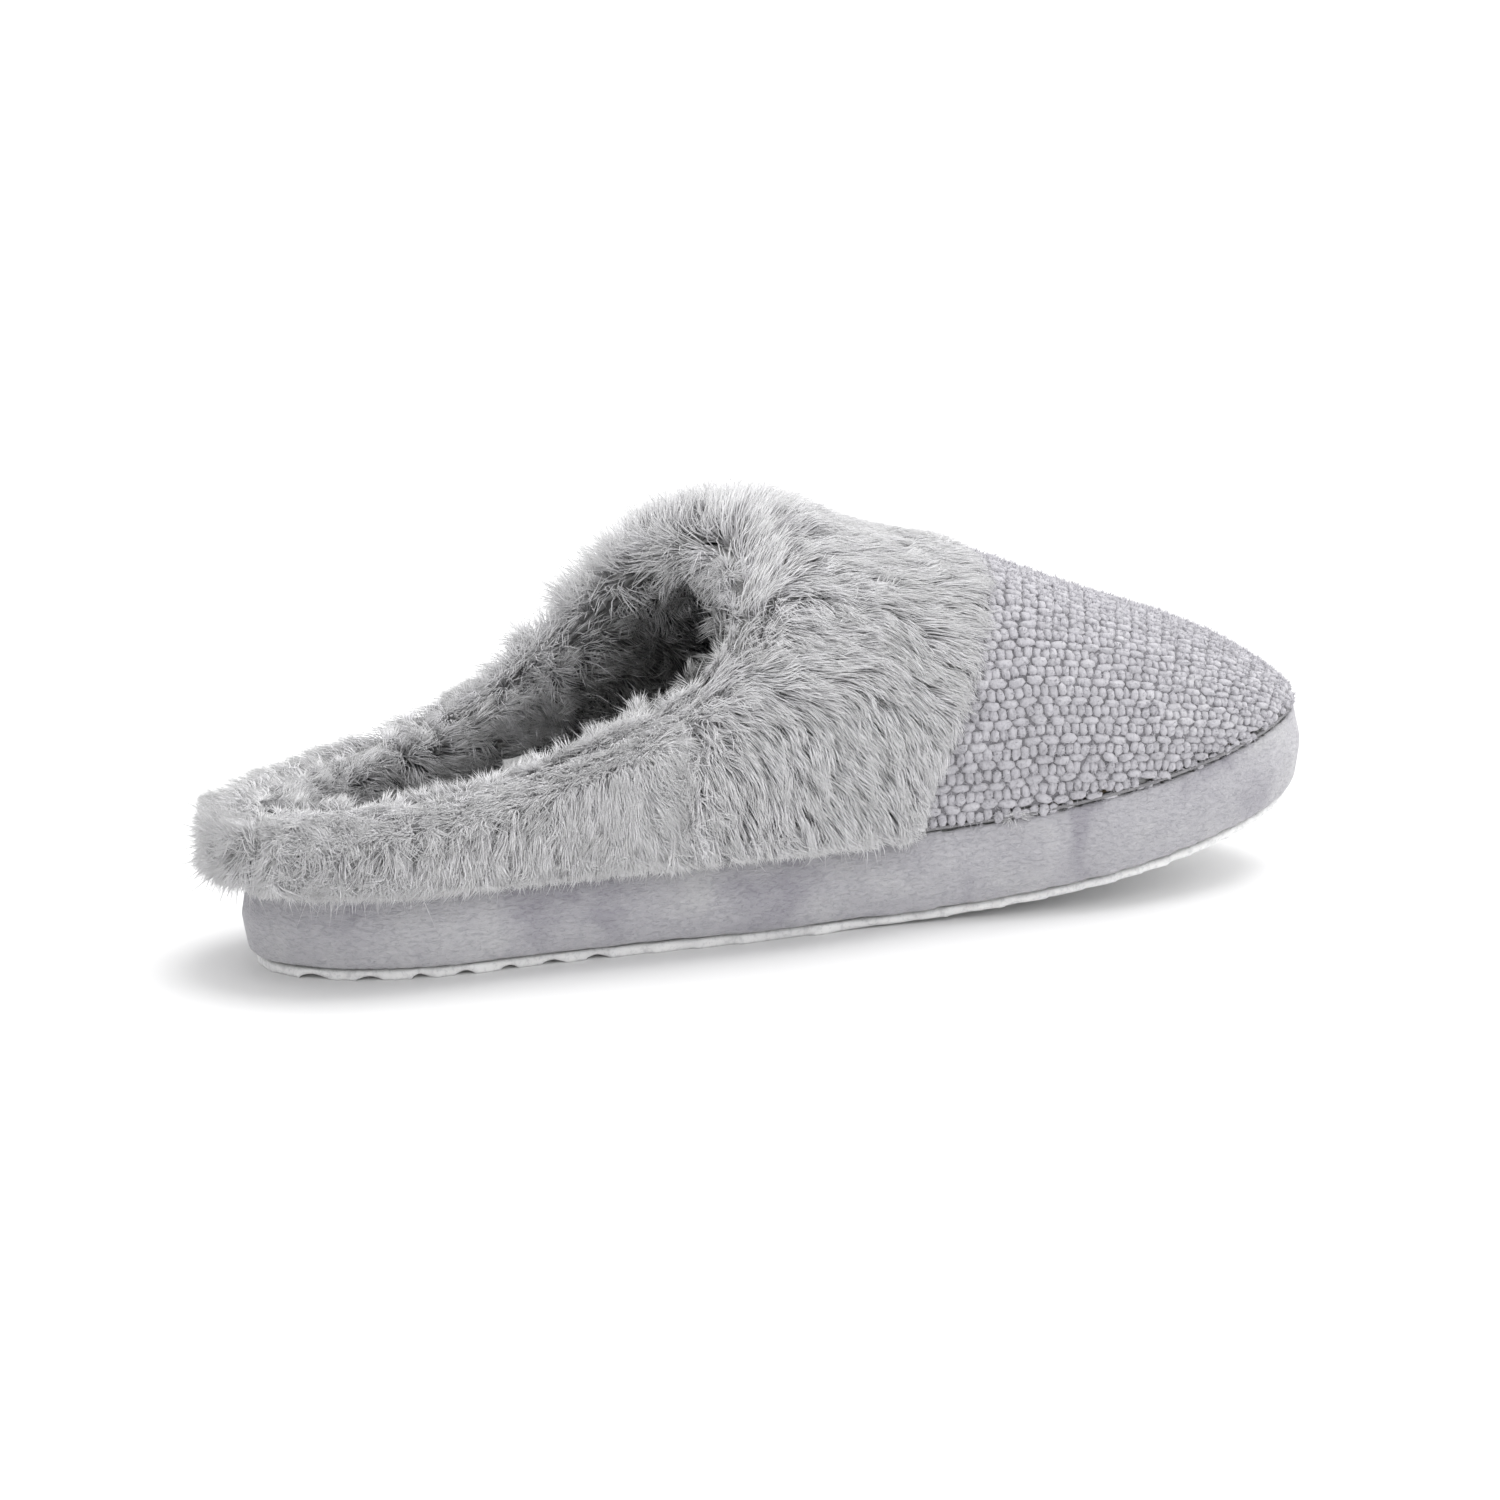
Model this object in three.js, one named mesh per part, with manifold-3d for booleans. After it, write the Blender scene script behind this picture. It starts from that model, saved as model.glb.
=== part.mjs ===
// A left, backless house slipper: a foam platform in a velour cover, a knitted vamp, and a faux-fur
// cuff and collar that line the foot opening. Millimetres, +X to the toe, +Z up, medial side at -Y.
// The group's origin is the centre of the bounding box's bottom face, so the tread stands on z = 0.
import * as THREE from "three";
import { mergeVertices } from "three/addons/utils/BufferGeometryUtils.js";
import Module from "manifold-3d";

// Sole outline, seen from above
const soleLength = 262;
const heelHalfWidth = 29.5;
const heelRoundLength = 50; // the heel end is a half ellipse this long
const waistHalfWidth = 36;
const ballHalfWidth = { medial: 45.8, lateral: 45 };
const waistStation = { medial: 130, lateral: 120 };
const ballStation = { medial: 203, lateral: 174 };
const toeTipShift = -17; // the toe's tip lies towards the medial side

// Toe spring: the sole leaves the floor here and rises to this height at the tip
const springStation = 135;
const springHeight = 18;
const springPower = 1.7;

// Sole stack, heights above the floor at the heel
const outsoleThickness = 2.4;
const treadDepth = 1;
const treadPitch = 10.5;
const treadGrooveWidth = 4.2;
const treadRim = 8; // plain edge round the grooves
const openTreadLength = 75; // behind this the grooves run out through the edge
const outsoleInset = 3.2;
const platformHeight = 18.5; // from the cover's underside to its top seam
const coverThickness = 1.2;
const coverBottomInset = 1.6;
const coverTopInset = 2;
const coverTopTurn = 5;
const coverBottomTurn = 10;
const boardThickness = 1.2;
const footbedFoamThickness = 2.5;
const sockThickness = 3.5;

// Upper: distances out from (+) or in from (-) the backing surface
const upperInset = 3; // the backing surface stands this far inside the sole's outline
const archPower = 2.3; // 2 is an ellipse, and more is squarer
const knitThickness = 1.8;
const upperFoamThickness = 2.2;
const toeLiningThickness = 1.2;
const liningPile = 6;
const sidePile = 8;
const heelPile = 13;
const instepPile = 9;
const frontPile = 3;
const liningReach = 24; // how far the fur lining runs on past the instep

// Crest of the backing surface above the platform's top seam
const instepStation = 125;
const instepRise = 65;
const cuffStation = 178; // front edge of the fur cuff on the crest
const cuffRise = 54.5;
const toeRise = 9.5;
const toeRoundLength = 27;
const heelWallRound = 14;

// Foot opening, side view: the top line from the heel up to the throat
const topLine = [
  [-40, 38],
  [12, 38],
  [46, 42.5],
  [79, 52.5],
  [100, 66],
  [109, 79],
  [126, 97],
  [134, 114],
];
const openingSkew = -0.33; // the lateral side of the throat lies further back ...
const openingRoll = -0.05; // ... and its top line a little lower
const cuffEdgeSweep = 0.004; // the cuff's front edge bows forward over the instep ...
const cuffEdgeLean = 0.42; // ... and runs back towards the sole
const sideSeamStation = 90;
const heelSeamTurn = 30; // degrees from the centre line, towards the medial side
const liningDrop = 1; // inner layers end this far below the fur's top line

const gap = 0.3;
const threadRadius = 0.4;
const seamGap = 2 * (threadRadius + gap);
const labelSize = [14, 0.6, 9];
const labelStation = 75;
const labelRise = 5; // the label's middle above the sock

const stations = 24;
const archSteps = 12;
const profileSteps = 32;
const far = 200;

const coverBottom = outsoleThickness + gap;
const seamHeight = coverBottom + platformHeight;
const boardBottom = seamHeight + gap;
const footbedFoamBottom = boardBottom + boardThickness + gap;
const sockBottom = footbedFoamBottom + footbedFoamThickness + gap;
const wallFoot = sockBottom + sockThickness + gap; // the linings stand on the sock
const furFoot = seamHeight + 2 * (threadRadius + gap);
const foamInner = -(gap + upperFoamThickness);
const liningOuter = foamInner - gap;
const furLiningInner = liningOuter - liningPile;
const toeLiningInner = liningOuter - toeLiningThickness;
const sockInset = upperInset - liningOuter;
const coverInner = coverThickness + gap;

const finish = {
  velour: new THREE.MeshStandardMaterial({ color: 0xa3a3a5, roughness: 0.95 }),
  fur: new THREE.MeshStandardMaterial({ color: 0xadadae, roughness: 1 }),
  knit: new THREE.MeshStandardMaterial({ color: 0xb6b5ba, roughness: 1 }),
  foam: new THREE.MeshStandardMaterial({ color: 0xe6e2d6, roughness: 0.9 }),
  board: new THREE.MeshStandardMaterial({ color: 0xb79a72, roughness: 0.8 }),
  tread: new THREE.MeshStandardMaterial({ color: 0xe4e4e2, roughness: 0.55 }),
  lining: new THREE.MeshStandardMaterial({ color: 0x6f6f72, roughness: 1 }),
  thread: new THREE.MeshStandardMaterial({ color: 0x77777b, roughness: 0.7 }),
  label: new THREE.MeshStandardMaterial({ color: 0xf2f2f2, roughness: 0.6 }),
};

const wasm = await Module();
wasm.setup();

const ellipse = (t) => Math.sqrt(Math.max(0, 1 - t * t));
const ease = (t) => t * t * (3 - 2 * t);
const mix = (a, b, t) => a + (b - a) * t;

// How far the sole reaches to one side at a distance x from the heel's end
function sideReach(x, side) {
  const sign = side === "medial" ? -1 : 1;
  const waist = waistStation[side];
  const ball = ballStation[side];
  const ballWidth = ballHalfWidth[side];
  if (x < heelRoundLength) return sign * heelHalfWidth * ellipse(1 - x / heelRoundLength);
  if (x < waist) {
    const t = (x - heelRoundLength) / (waist - heelRoundLength);
    return sign * mix(heelHalfWidth, waistHalfWidth, ease(t));
  }
  if (x < ball) return sign * mix(waistHalfWidth, ballWidth, ease((x - waist) / (ball - waist)));
  return mix(toeTipShift, sign * ballWidth, ellipse((x - ball) / (soleLength - ball)));
}

const toeSpring = (x) =>
  springHeight * Math.max(0, (x - springStation) / (soleLength - springStation)) ** springPower;

// A point of the outline, moved out by a distance; u runs from 0 at the heel to 1 at the toe
function outlinePoint(u, side, out) {
  if (u <= 0) return new THREE.Vector2(-out, 0);
  if (u >= 1) return new THREE.Vector2(soleLength + out, toeTipShift);
  const at = (v) => {
    const x = (soleLength * (1 - Math.cos(Math.PI * v))) / 2;
    return new THREE.Vector2(x, sideReach(x, side));
  };
  const step = 1e-4;
  const along = at(Math.min(1, u + step)).sub(at(Math.max(0, u - step))).normalize();
  const sign = side === "medial" ? 1 : -1;
  return at(u).add(new THREE.Vector2(sign * along.y, -sign * along.x).multiplyScalar(out));
}

// Closed skin over a row of rings; a ring at either end may close to a line
function skin(rings) {
  const count = rings[0].length;
  const index = [];
  for (let i = 0; i + 1 < rings.length; i++) {
    for (let j = 0; j < count; j++) {
      const a = i * count + j;
      const b = i * count + ((j + 1) % count);
      index.push(a, b, a + count, b, b + count, a + count);
    }
  }
  const geometry = new THREE.BufferGeometry().setFromPoints(rings.flat());
  geometry.setIndex(index);
  return solidOf(geometry);
}

// A closed three.js geometry as a manifold solid
function solidOf(geometry) {
  const bare = geometry.clone();
  bare.deleteAttribute("normal");
  bare.deleteAttribute("uv");
  const merged = mergeVertices(bare, 1e-4);
  const corners = merged.index.array;
  const kept = [];
  for (let i = 0; i < corners.length; i += 3) {
    const [a, b, c] = corners.slice(i, i + 3);
    if (a !== b && b !== c && c !== a) kept.push(a, b, c);
  }
  return new wasm.Manifold(
    new wasm.Mesh({
      numProp: 3,
      vertProperties: new Float32Array(merged.attributes.position.array),
      triVerts: new Uint32Array(kept),
    }),
  );
}

// A layer of the sole: levels of [outset, height] from the bottom up, bent up by the toe spring
function soleLayer(levels) {
  const rings = [];
  for (let i = 0; i <= stations; i++) {
    const edge = (side) =>
      levels.map(([out, z]) => {
        const p = outlinePoint(i / stations, side, out);
        return new THREE.Vector3(p.x, p.y, z + toeSpring(p.x));
      });
    rings.push([...edge("medial").reverse(), ...edge("lateral")]);
  }
  return skin(rings);
}

// Height of the backing surface's crest above the top seam
function crestRise(x) {
  const heel = ellipse(1 - Math.min(1, Math.max(0, x / heelWallRound)));
  const toe = ellipse(Math.max(0, 1 - (soleLength - x) / toeRoundLength));
  if (x < instepStation) return instepRise * heel;
  if (x < cuffStation) {
    return mix(instepRise, cuffRise, (x - instepStation) / (cuffStation - instepStation));
  }
  return mix(cuffRise, toeRise, (x - cuffStation) / (soleLength - cuffStation)) * toe;
}

// A point of the upper: u runs heel to toe, turn from 0 at the medial foot over the crest to 1
function upperPoint(u, turn, out) {
  const base = outlinePoint(u, "medial", 0).x;
  const reach = typeof out === "function" ? out(base) : out;
  const medial = outlinePoint(u, "medial", reach - upperInset);
  const lateral = outlinePoint(u, "lateral", reach - upperInset);
  const angle = Math.PI * turn;
  const across = -Math.sign(Math.cos(angle)) * Math.abs(Math.cos(angle)) ** (2 / archPower);
  const lift = Math.abs(Math.sin(angle)) ** (2 / archPower);
  const p = medial.clone().lerp(lateral, (1 + across) / 2);
  const rise = Math.max(0, crestRise(base) + reach);
  return new THREE.Vector3(p.x, p.y, seamHeight + toeSpring(p.x) + rise * lift);
}

// The space under a surface that runs at one distance from the backing, with a skirt below the seam
function upperSpace(out) {
  const rings = [];
  const skirt = new THREE.Vector3(0, 0, -coverTopTurn);
  for (let i = 0; i <= stations; i++) {
    const arch = [];
    for (let j = 0; j <= archSteps; j++) arch.push(upperPoint(i / stations, j / archSteps, out));
    const medialFoot = arch[0].clone().add(skirt);
    const lateralFoot = arch[archSteps].clone().add(skirt);
    rings.push([lateralFoot, ...arch.reverse(), medialFoot]);
  }
  return skin(rings);
}

// Pile length of the outer fur: full at the heel, and combed flat towards the cuff's front edge
function furPile(x) {
  if (x < heelRoundLength) return mix(heelPile, sidePile, ease(x / heelRoundLength));
  if (x < instepStation) {
    return mix(sidePile, instepPile, (x - heelRoundLength) / (instepStation - heelRoundLength));
  }
  return mix(instepPile, frontPile, ease(Math.min(1, (x - instepStation) / (cuffStation - instepStation))));
}

const shell = (outer, inner) => upperSpace(outer).subtract(upperSpace(inner));

// A flat outline pushed through along one axis: "y" takes x and z, and "z" takes x and y
function prism(points, axis, low, high) {
  const shape = new THREE.Shape(points.map(([a, b]) => new THREE.Vector2(a, b)));
  const geometry = new THREE.ExtrudeGeometry(shape, { depth: high - low, bevelEnabled: false });
  geometry.translate(0, 0, low);
  if (axis === "y") geometry.rotateX(Math.PI / 2);
  return solidOf(geometry);
}

// Everything above a height that follows the toe spring
function above(height) {
  const points = [[-far, far], [-far, height]];
  for (let i = 0; i <= profileSteps; i++) {
    const x = mix(springStation, soleLength, i / profileSteps);
    points.push([x, height + toeSpring(x)]);
  }
  points.push([2 * far, height + springHeight], [2 * far, far]);
  return prism(points, "y", -far, far);
}

// The foot opening's cutter: all that lies above and behind the top line, lowered for inner layers
function opening(drop) {
  const curve = new THREE.SplineCurve(topLine.map(([x, z]) => new THREE.Vector2(x, z)));
  const line = curve.getPoints(profileSteps).map((p) => [p.x, p.y - drop]);
  const rear = [-far, line[0][1]];
  const cutter = prism([...line, [line.at(-1)[0], far], [-far, far], rear], "y", -far, far);
  return sheared(cutter, (p) => p.set(p.x + openingSkew * p.y, p.y, p.z + openingRoll * p.y));
}

// A solid with each of its corners moved
function sheared(solid, move) {
  return solid.warp((v) => {
    const p = move(new THREE.Vector3(...v));
    [v[0], v[1], v[2]] = [p.x, p.y, p.z];
  });
}

// All that lies behind the cuff's front edge
function behindCuffEdge(shift) {
  const edge = [];
  for (let i = 0; i <= profileSteps; i++) {
    const y = mix(-far / 2, far / 2, i / profileSteps);
    edge.push([cuffStation - cuffEdgeSweep * y * y + shift, y]);
  }
  const cutter = prism([[-far, -far / 2], ...edge, [-far, far / 2]], "z", -far, far);
  const crest = seamHeight + cuffRise;
  return sheared(cutter, (p) => p.setX(p.x + cuffEdgeLean * (p.z - crest)));
}

// The plan of one side's quarter, from the side seam back to the heel seam
function quarterPlan(side, clearance) {
  const turn = THREE.MathUtils.degToRad(heelSeamTurn);
  const away = side === "medial" ? clearance : -clearance; // square to the heel seam
  const shift = [away * Math.sin(turn), -away * Math.cos(turn)];
  const hub = [heelRoundLength / 2 + shift[0], shift[1]];
  const seam = [hub[0] - far * Math.cos(turn), hub[1] - far * Math.sin(turn)];
  const edge = side === "medial" ? -far : far;
  const end = sideSeamStation - clearance;
  const points = [[end, hub[1]], hub, seam, [-far, seam[1]], [-far, edge], [end, edge]];
  return prism(points, "z", -far, far);
}

const frontOf = (x) => prism([[x, -far], [2 * far, -far], [2 * far, far], [x, far]], "z", -far, far);
const backOf = (x) => prism([[-far, -far], [x, -far], [x, far], [-far, far]], "z", -far, far);

// A round thread along points; each section stands square to the line
function thread(points, closed) {
  const sides = 6;
  const curve = new THREE.CatmullRomCurve3(points, closed, "centripetal");
  const steps = points.length * 2;
  const rings = [];
  for (let i = 0; i <= steps; i++) {
    const t = closed ? (i % steps) / steps : i / steps;
    const along = curve.getTangentAt(t);
    const side = new THREE.Vector3(0, 0, 1).cross(along);
    if (side.length() < 0.3) side.set(0, 1, 0).cross(along);
    side.normalize();
    const up = along.clone().cross(side);
    const ring = [];
    for (let j = 0; j < sides; j++) {
      const a = (2 * Math.PI * j) / sides;
      const spot = curve.getPointAt(t).addScaledVector(side, threadRadius * Math.cos(a));
      ring.push(spot.addScaledVector(up, threadRadius * Math.sin(a)));
    }
    rings.push(ring);
  }
  if (!closed) {
    rings.unshift(Array(sides).fill(curve.getPointAt(0)));
    rings.push(Array(sides).fill(curve.getPointAt(1)));
  }
  return skin(rings);
}

// Sole

function outsole() {
  const half = treadGrooveWidth / 2;
  const rim = -outsoleInset - treadRim;
  const field = soleLayer([[rim, -treadPitch], [rim, outsoleThickness]]);
  let tread = soleLayer([[-outsoleInset, 0], [-outsoleInset, outsoleThickness]]);
  for (let x = treadPitch; x < soleLength - treadPitch / 2; x += treadPitch) {
    const z = toeSpring(x);
    const groove = [[x - half, z - treadPitch], [x + half, z - treadPitch], [x + half, z]];
    groove.push([x + half / 2, z + treadDepth], [x - half / 2, z + treadDepth], [x - half, z]);
    const cut = prism(groove, "y", -far, far);
    tread = tread.subtract(x < openTreadLength ? cut : cut.intersect(field));
  }
  return tread;
}

function platformFoam() {
  const low = coverBottom + coverInner;
  const high = seamHeight - coverInner;
  const waist = (low + high) / 2;
  const body = soleLayer([
    [-coverBottomInset - coverInner, low],
    [-coverInner, waist],
    [-coverTopInset - coverInner, high],
  ]);
  const heart = [[-coverBottomTurn - gap, coverBottom], [-coverBottomTurn - gap, waist]];
  const crown = [[-coverTopTurn - gap, waist], [-coverTopTurn - gap, seamHeight]];
  return body.add(soleLayer([...heart, ...crown]));
}

function soleCover() {
  const waist = (coverBottom + seamHeight) / 2;
  const outside = soleLayer([
    [-coverBottomInset, coverBottom],
    [0, waist],
    [-coverTopInset, seamHeight],
  ]);
  const low = coverBottom + coverThickness;
  const high = seamHeight - coverThickness;
  const inside = soleLayer([
    [-coverBottomInset - coverThickness, low],
    [-coverThickness, waist],
    [-coverTopInset - coverThickness, high],
  ]);
  const mouthBelow = [[-coverBottomTurn, -far], [-coverBottomTurn, waist]];
  const mouthAbove = [[-coverTopTurn, waist], [-coverTopTurn, far]];
  return outside.subtract(inside).subtract(soleLayer([...mouthBelow, ...mouthAbove]));
}

// A layer of the footbed, trimmed to the space inside the upper's foam
const innerLayer = (bottom, thickness) =>
  soleLayer([[-sockInset, bottom], [-sockInset, bottom + thickness]]).intersect(upperSpace(liningOuter));

// Upper

const furShell = () => shell(furPile, 0).intersect(above(furFoot)).subtract(opening(0));
const foamShell = () =>
  shell(-gap, foamInner).intersect(above(seamHeight + gap)).subtract(opening(liningDrop));
const furLiningShell = () =>
  shell(liningOuter, furLiningInner).intersect(above(wallFoot)).subtract(opening(liningDrop));

const furCuff = (furs) =>
  furs.intersect(frontOf(sideSeamStation + seamGap / 2)).intersect(behindCuffEdge(-seamGap / 2));

const knitVamp = () =>
  shell(knitThickness, 0).intersect(above(furFoot)).subtract(behindCuffEdge(seamGap / 2));

const liningEnd = instepStation + liningReach;

function toeLining() {
  return shell(liningOuter, toeLiningInner).intersect(above(wallFoot)).intersect(frontOf(liningEnd + gap));
}

// Threads

function platformSeamThread() {
  const points = [];
  const out = threadRadius + gap - upperInset;
  const height = seamHeight + gap + threadRadius;
  for (const side of ["medial", "lateral"]) {
    for (let i = 0; i < stations; i++) {
      const u = side === "medial" ? i / stations : 1 - i / stations;
      const p = outlinePoint(u, side, out);
      points.push(new THREE.Vector3(p.x, p.y, height + toeSpring(p.x)));
    }
  }
  return thread(points, true);
}

// Where the cuff's front edge meets a surface just outside the backing, for one turn of the arch
function cuffEdgePoint(turn) {
  const lift = threadRadius + gap;
  const crest = seamHeight + cuffRise;
  let low = 0.4;
  let high = 0.9;
  for (let i = 0; i < profileSteps; i++) {
    const u = (low + high) / 2;
    const p = upperPoint(u, turn, lift);
    const edge = cuffStation - cuffEdgeSweep * p.y * p.y + cuffEdgeLean * (p.z - crest);
    if (p.x < edge) low = u;
    else high = u;
  }
  return upperPoint(low, turn, lift);
}

function cuffSeamThread() {
  const points = [];
  const foot = 0.045;
  for (let i = 0; i <= archSteps; i++) points.push(cuffEdgePoint(mix(foot, 1 - foot, i / archSteps)));
  return thread(points, false);
}

// A seam's line up the wall of the collar: u is its place along the outline
function wallSeam(u, side, height) {
  const points = [];
  const foot = furFoot + gap;
  for (let i = 0; i <= 3; i++) {
    const z = mix(foot, height, i / 3);
    const rise = crestRise(outlinePoint(u, side, 0).x) + threadRadius + gap;
    const lift = Math.min(1, (z - seamHeight) / rise);
    const turn = Math.asin(lift ** (archPower / 2)) / Math.PI;
    points.push(upperPoint(u, side === "medial" ? turn : 1 - turn, threadRadius + gap));
  }
  return points;
}

// Place along the outline, as u, of a distance from the heel's end
const stationAt = (x) => Math.acos(1 - (2 * x) / soleLength) / Math.PI;

function heelSeamThread() {
  const slope = Math.tan(THREE.MathUtils.degToRad(heelSeamTurn));
  let low = 0.001;
  let high = stationAt(heelRoundLength / 2);
  for (let i = 0; i < profileSteps; i++) {
    const u = (low + high) / 2;
    const p = outlinePoint(u, "medial", threadRadius + gap - upperInset);
    if (-p.y < slope * (heelRoundLength / 2 - p.x)) low = u;
    else high = u;
  }
  return thread(wallSeam(low, "medial", topLine[0][1] - liningDrop), false);
}

function sideSeamThread(side) {
  const line = wallSeam(stationAt(sideSeamStation), side, topLine[3][1] - liningDrop);
  return thread(line.map((p) => p.setX(sideSeamStation)), false);
}

function sizeLabel() {
  const u = stationAt(labelStation);
  const wall = outlinePoint(u, "lateral", furLiningInner - upperInset);
  const ahead = outlinePoint(u + 0.02, "lateral", furLiningInner - upperInset);
  const geometry = new THREE.BoxGeometry(...labelSize);
  geometry.rotateZ(ahead.sub(wall).angle());
  const lean = 2.2;
  return solidOf(geometry.translate(wall.x, wall.y - labelSize[1] / 2 - lean, wallFoot + labelRise));
}

// Assembly

const slipper = new THREE.Group();

function place(name, solid, material) {
  const cut = solid.getMesh();
  const geometry = new THREE.BufferGeometry();
  geometry.setAttribute("position", new THREE.BufferAttribute(new Float32Array(cut.vertProperties), 3));
  geometry.setIndex(new THREE.BufferAttribute(new Uint32Array(cut.triVerts), 1));
  const mesh = new THREE.Mesh(geometry, material);
  mesh.name = name;
  slipper.add(mesh);
}

place("outsole", outsole(), finish.tread);
place("platform_foam", platformFoam(), finish.foam);
place("sole_cover", soleCover(), finish.velour);
place("insole_board", innerLayer(boardBottom, boardThickness), finish.board);
place("footbed_foam", innerLayer(footbedFoamBottom, footbedFoamThickness), finish.foam);
place("sock_lining", innerLayer(sockBottom, sockThickness), finish.fur);

const furs = furShell();
const foams = foamShell();
const linings = furLiningShell();
place("knit_vamp", knitVamp(), finish.knit);
place("fur_cuff", furCuff(furs), finish.fur);
place("vamp_foam", foams.intersect(frontOf(sideSeamStation + gap / 2)), finish.foam);
place("toe_lining", toeLining(), finish.lining);
const cuffLining = linings.intersect(frontOf(sideSeamStation + gap / 2)).intersect(backOf(liningEnd));
place("cuff_fur_lining", cuffLining, finish.fur);
for (const side of ["medial", "lateral"]) {
  place("fur_quarter_" + side, furs.intersect(quarterPlan(side, seamGap / 2)), finish.fur);
  place("collar_foam_" + side, foams.intersect(quarterPlan(side, gap / 2)), finish.foam);
  place("collar_fur_lining_" + side, linings.intersect(quarterPlan(side, gap / 2)), finish.fur);
  place("side_seam_thread_" + side, sideSeamThread(side), finish.thread);
}
place("platform_seam_thread", platformSeamThread(), finish.thread);
place("cuff_seam_thread", cuffSeamThread(), finish.thread);
place("heel_seam_thread", heelSeamThread(), finish.thread);
place("size_label", sizeLabel(), finish.label);

const bounds = new THREE.Box3().setFromObject(slipper);
const centre = bounds.getCenter(new THREE.Vector3());
slipper.position.set(-centre.x, -centre.y, -bounds.min.z);

export default slipper;
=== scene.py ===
import math
import bmesh
import bpy
import numpy as np
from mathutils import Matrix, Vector, noise
from mathutils.bvhtree import BVHTree
from mathutils.kdtree import KDTree


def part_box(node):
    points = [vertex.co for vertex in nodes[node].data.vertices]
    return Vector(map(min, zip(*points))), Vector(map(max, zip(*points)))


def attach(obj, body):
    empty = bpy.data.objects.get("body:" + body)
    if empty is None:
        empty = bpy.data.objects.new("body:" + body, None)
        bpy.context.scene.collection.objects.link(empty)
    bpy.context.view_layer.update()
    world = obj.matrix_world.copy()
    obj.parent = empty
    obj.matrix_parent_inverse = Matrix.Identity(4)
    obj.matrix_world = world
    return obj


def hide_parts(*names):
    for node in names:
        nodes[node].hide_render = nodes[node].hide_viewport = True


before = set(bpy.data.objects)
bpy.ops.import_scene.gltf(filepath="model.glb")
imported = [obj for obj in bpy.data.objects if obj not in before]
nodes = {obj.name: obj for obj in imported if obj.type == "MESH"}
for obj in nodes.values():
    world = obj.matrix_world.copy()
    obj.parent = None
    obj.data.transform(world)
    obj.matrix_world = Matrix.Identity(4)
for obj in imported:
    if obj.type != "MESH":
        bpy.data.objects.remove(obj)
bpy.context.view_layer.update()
scene = bpy.context.scene
mm = 0.001
print("slipper frame loaded:", len(nodes), "solids")


view = {"azimuth": -27, "elevation": 14.3, "distance": 1.5, "lens": 156, "aim": (-0.0001, 0.0004, 0.0363)}
light = {"sky": 1.20, "skyTilt": 0.36, "sun": 1.6, "sunWidth": 40, "sunFrom": (0.42, 0.14, 1.15),
         "floorTone": 0.80}


def makeCamera():
    camera = bpy.data.objects.new("camera", bpy.data.cameras.new("camera"))
    scene.collection.objects.link(camera)
    a, e = math.radians(view["azimuth"]), math.radians(view["elevation"])
    back = Vector((math.sin(a) * math.cos(e), -math.cos(a) * math.cos(e), math.sin(e)))
    camera.data.lens = view["lens"]
    camera.data.clip_start, camera.data.clip_end = 0.1, 20
    camera.location = Vector(view["aim"]) + back * view["distance"]
    camera.rotation_mode = "QUATERNION"
    camera.rotation_quaternion = (-back).to_track_quat("-Z", "Y")
    scene.camera = camera


def makeLamp(name, place, width, power):
    lamp = bpy.data.objects.new(name, bpy.data.lights.new(name, "SUN"))
    scene.collection.objects.link(lamp)
    lamp.data.angle, lamp.data.energy = math.radians(width), power
    lamp.location = place
    lamp.rotation_mode = "QUATERNION"
    lamp.rotation_quaternion = (-Vector(place)).to_track_quat("-Z", "Y")


def makeStudio():
    world = bpy.data.worlds.new("softSky")
    world.use_nodes = True
    world.node_tree.nodes["Background"].inputs["Color"].default_value = (1, 1, 1, 1)
    # The toe's side of the room is a little brighter than the heel's.
    nodeTree = world.node_tree
    way = addNode(nodeTree, "ShaderNodeTexCoord").outputs["Generated"]
    side = addNode(nodeTree, "ShaderNodeSeparateXYZ", Vector=way)
    low, high = light["sky"] * (1 - light["skyTilt"]), light["sky"] * (1 + light["skyTilt"])
    tilt = addNode(nodeTree, "ShaderNodeMapRange", Value=side.outputs["X"], From_Min=-1.0, From_Max=1.0,
                   To_Min=low, To_Max=high)
    nodeTree.links.new(tilt.outputs["Result"], nodeTree.nodes["Background"].inputs["Strength"])
    scene.world = world
    makeLamp("softSun", light["sunFrom"], light["sunWidth"], light["sun"])
    shape = bmesh.new()
    bmesh.ops.create_circle(shape, cap_ends=True, segments=96, radius=6)
    mesh = bpy.data.meshes.new("floor")
    shape.to_mesh(mesh)
    shape.free()
    floor = bpy.data.objects.new("floor", mesh)
    scene.collection.objects.link(floor)
    tone = light["floorTone"]
    floor.data.materials.append(plainMaterial("paleFloor", (tone, tone, tone * 1.003), 0.7))
    scene.view_settings.view_transform = "Standard"


def plainMaterial(name, colour, roughness):
    material = bpy.data.materials.new(name)
    material.use_nodes = True
    shader = material.node_tree.nodes["Principled BSDF"]
    shader.inputs["Base Color"].default_value = (*colour, 1)
    shader.inputs["Roughness"].default_value = roughness
    return material


def addNode(tree, kind, settings=None, **inputs):
    made = tree.nodes.new(kind)
    for key, value in (settings or {}).items():
        setattr(made, key, value)
    for key, value in inputs.items():
        socket = made.inputs[key.replace("_", " ")]
        if isinstance(value, bpy.types.NodeSocket):
            tree.links.new(value, socket)
        else:
            socket.default_value = value
    return made


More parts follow.
